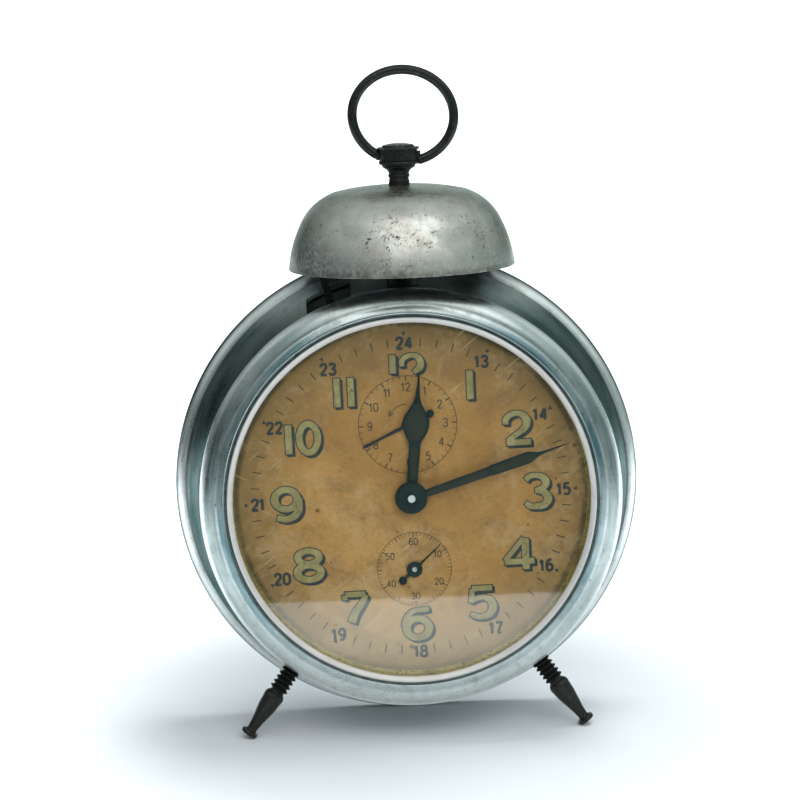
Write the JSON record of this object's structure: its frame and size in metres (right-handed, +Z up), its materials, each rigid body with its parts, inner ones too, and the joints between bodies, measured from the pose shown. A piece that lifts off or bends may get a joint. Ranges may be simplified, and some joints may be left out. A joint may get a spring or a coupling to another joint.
{
  "type": "alarm clock",
  "caption": "Round wind-up alarm clock on turned feet: a bell and carrying ring on top, printed dial with alarm and seconds sub-dials, winding keys behind.",
  "frame": {"origin": "on the resting plane, at the middle of the overall width and depth", "axes": "+Z up, +X to the right as seen from the front, the dial looks toward -Y and leans back about 6 degrees"},
  "size_m": [0.1198, 0.057, 0.1689],
  "materials": {
    "nickel": "worn dull nickel plate",
    "bronzed": "dark bronzed",
    "glass": "clear flat glass",
    "brass_ring": "polished, aged",
    "dial_print": "aged printed dial",
    "blued": "dark blued",
    "steel": "turned steel",
    "fibre": "vulcanised fibre",
    "movement_brass": "satin brass"
  },
  "bodies": {
    "case": {"case_body": "nickel", "bezel": "nickel", "glass": "glass", "dial_ring": "brass_ring", "dial_plate": "dial_print", "back_cover": "nickel", "cover_screws": "steel", "left_foot": "bronzed", "right_foot": "bronzed", "bell": "nickel", "bell_washer": "fibre", "bell_post": "steel", "handle_head": "bronzed", "front_plate": "movement_brass", "back_plate": "movement_brass", "pillar_top": "steel", "pillar_left": "steel", "pillar_right": "steel", "plate_nuts": "steel", "time_mainspring": "steel", "alarm_mainspring": "steel"},
    "ring": {"ring_handle": "bronzed"},
    "hammer": {"hammer": "steel"},
    "stop_button": {"alarm_stop_rod": "steel"},
    "time_key": {"time_winding_arbor": "steel", "time_ratchet": "steel", "time_winding_key": "movement_brass"},
    "alarm_key": {"alarm_winding_arbor": "steel", "alarm_ratchet": "steel", "alarm_winding_key": "movement_brass"},
    "time_great": {"time_great_wheel": "movement_brass"},
    "time_pawl": {"time_click": "steel"},
    "alarm_great": {"alarm_great_wheel": "movement_brass"},
    "alarm_pawl": {"alarm_click": "steel"},
    "alarm_escape": {"alarm_escape_wheel": "movement_brass"},
    "centre_train": {"centre_pinion": "movement_brass", "centre_wheel": "movement_brass"},
    "third": {"third_wheel": "movement_brass"},
    "seconds": {"seconds_arbor": "steel", "fourth_wheel": "movement_brass", "seconds_hand": "blued"},
    "escape": {"escape_wheel": "movement_brass"},
    "pallet": {"pallet_lever": "steel"},
    "balance": {"balance_staff": "steel", "balance_wheel": "movement_brass", "hairspring": "steel"},
    "regulator": {"regulator_lever": "steel"},
    "minute": {"centre_arbor": "steel", "cannon_pinion": "movement_brass", "minute_hand": "blued", "hand_pin": "steel", "time_set_knob": "movement_brass"},
    "minute_gear": {"minute_wheel": "movement_brass"},
    "hour": {"hour_wheel": "movement_brass", "hour_hand": "blued"},
    "alarm_gear": {"alarm_wheel": "movement_brass"},
    "alarm_set": {"alarm_arbor": "steel", "alarm_hand": "blued", "alarm_set_knob": "movement_brass"}
  },
  "joints": [
    {"name": "ring_swing", "type": "hinge", "parent": "case", "child": "ring", "pos_m": [0, 0.00289, 0.14616], "axis": [1, 0, 0], "range_deg": [-80, 80]},
    {"name": "hammer_swing", "type": "hinge", "parent": "case", "child": "hammer", "pos_m": [-0.0155, -0.00231, 0.09638], "axis": [0, 0.9946, -0.1038], "range_deg": [-6, 3]},
    {"name": "alarm_stop_slide", "type": "slide", "parent": "case", "child": "stop_button", "axis": [0, 0.9946, -0.1038], "range_m": [-0.0015, 0]},
    {"name": "time_winding", "type": "hinge", "parent": "case", "child": "time_key", "pos_m": [0.0185, -0.00399, 0.07062], "axis": [0, 0.9946, -0.1038], "range_deg": [0, 2160]},
    {"name": "alarm_winding", "type": "hinge", "parent": "case", "child": "alarm_key", "pos_m": [-0.0185, -0.00399, 0.07062], "axis": [0, 0.9946, -0.1038], "range_deg": [0, 1440]},
    {"name": "time_great_turn", "type": "hinge", "parent": "case", "child": "time_great", "pos_m": [0.0185, -0.00399, 0.07062], "axis": [0, 0.9946, -0.1038], "continuous": true},
    {"name": "time_click_swing", "type": "hinge", "parent": "time_great", "child": "time_pawl", "pos_m": [0.0185, -0.00727, 0.08061], "axis": [0, 0.9946, -0.1038], "range_deg": [0, 15]},
    {"name": "alarm_great_turn", "type": "hinge", "parent": "case", "child": "alarm_great", "pos_m": [-0.0185, -0.00399, 0.07062], "axis": [0, 0.9946, -0.1038], "continuous": true},
    {"name": "alarm_click_swing", "type": "hinge", "parent": "alarm_great", "child": "alarm_pawl", "pos_m": [-0.0185, -0.00727, 0.08061], "axis": [0, 0.9946, -0.1038], "range_deg": [0, 15]},
    {"name": "alarm_escape_turn", "type": "hinge", "parent": "case", "child": "alarm_escape", "pos_m": [-0.01989, -0.00234, 0.08642], "axis": [0, 0.9946, -0.1038], "continuous": true},
    {"name": "centre_turn", "type": "hinge", "parent": "case", "child": "centre_train", "pos_m": [0, -0.00499, 0.06097], "axis": [0, 0.9946, -0.1038], "continuous": true},
    {"name": "third_turn", "type": "hinge", "parent": "case", "child": "third", "pos_m": [0.01391, -0.00601, 0.05125], "axis": [0, 0.9946, -0.1038], "continuous": true},
    {"name": "seconds_turn", "type": "hinge", "parent": "case", "child": "seconds", "pos_m": [0.00026, -0.00691, 0.04257], "axis": [0, 0.9946, -0.1038], "continuous": true},
    {"name": "escape_turn", "type": "hinge", "parent": "case", "child": "escape", "pos_m": [-0.01222, -0.00635, 0.04794], "axis": [0, 0.9946, -0.1038], "continuous": true},
    {"name": "pallet_rock", "type": "hinge", "parent": "case", "child": "pallet", "pos_m": [-0.01736, -0.00689, 0.04279], "axis": [0, 0.9946, -0.1038], "range_deg": [-4, 4]},
    {"name": "balance_swing", "type": "hinge", "parent": "case", "child": "balance", "pos_m": [-0.024, -0.00645, 0.04705], "axis": [0, 0.9946, -0.1038], "range_deg": [-150, 150], "stiffness_Nm_per_rad": 0.0000045},
    {"name": "regulator_shift", "type": "hinge", "parent": "case", "child": "regulator", "pos_m": [-0.024, 0.0038, 0.04598], "axis": [0, 0.9946, -0.1038], "range_deg": [-12, 12]},
    {"name": "hands_set", "type": "hinge", "parent": "case", "child": "minute", "pos_m": [0, -0.00499, 0.06097], "axis": [0, 0.9946, -0.1038], "continuous": true},
    {"name": "minute_gear_turn", "type": "hinge", "parent": "case", "child": "minute_gear", "pos_m": [0.01156, -0.00499, 0.06097], "axis": [0, 0.9946, -0.1038], "continuous": true},
    {"name": "hour_turn", "type": "hinge", "parent": "case", "child": "hour", "pos_m": [0, -0.00499, 0.06097], "axis": [0, 0.9946, -0.1038], "continuous": true},
    {"name": "alarm_gear_turn", "type": "hinge", "parent": "case", "child": "alarm_gear", "pos_m": [-0.00026, -0.00308, 0.07937], "axis": [0, 0.9946, -0.1038], "continuous": true},
    {"name": "alarm_set_turn", "type": "hinge", "parent": "case", "child": "alarm_set", "pos_m": [-0.00026, -0.00308, 0.07937], "axis": [0, 0.9946, -0.1038], "continuous": true}
  ],
  "couplings": [
    {"joint": "escape_turn", "follows": "seconds_turn", "ratio": -7.5},
    {"joint": "third_turn", "follows": "seconds_turn", "ratio": -0.125},
    {"joint": "centre_turn", "follows": "seconds_turn", "ratio": 0.016667},
    {"joint": "time_great_turn", "follows": "seconds_turn", "ratio": -0.0025253},
    {"joint": "alarm_great_turn", "follows": "alarm_escape_turn", "ratio": -0.16},
    {"joint": "minute_gear_turn", "follows": "hands_set", "ratio": -0.33333},
    {"joint": "hour_turn", "follows": "hands_set", "ratio": 0.083333},
    {"joint": "alarm_gear_turn", "follows": "hands_set", "ratio": -0.083333}
  ]
}
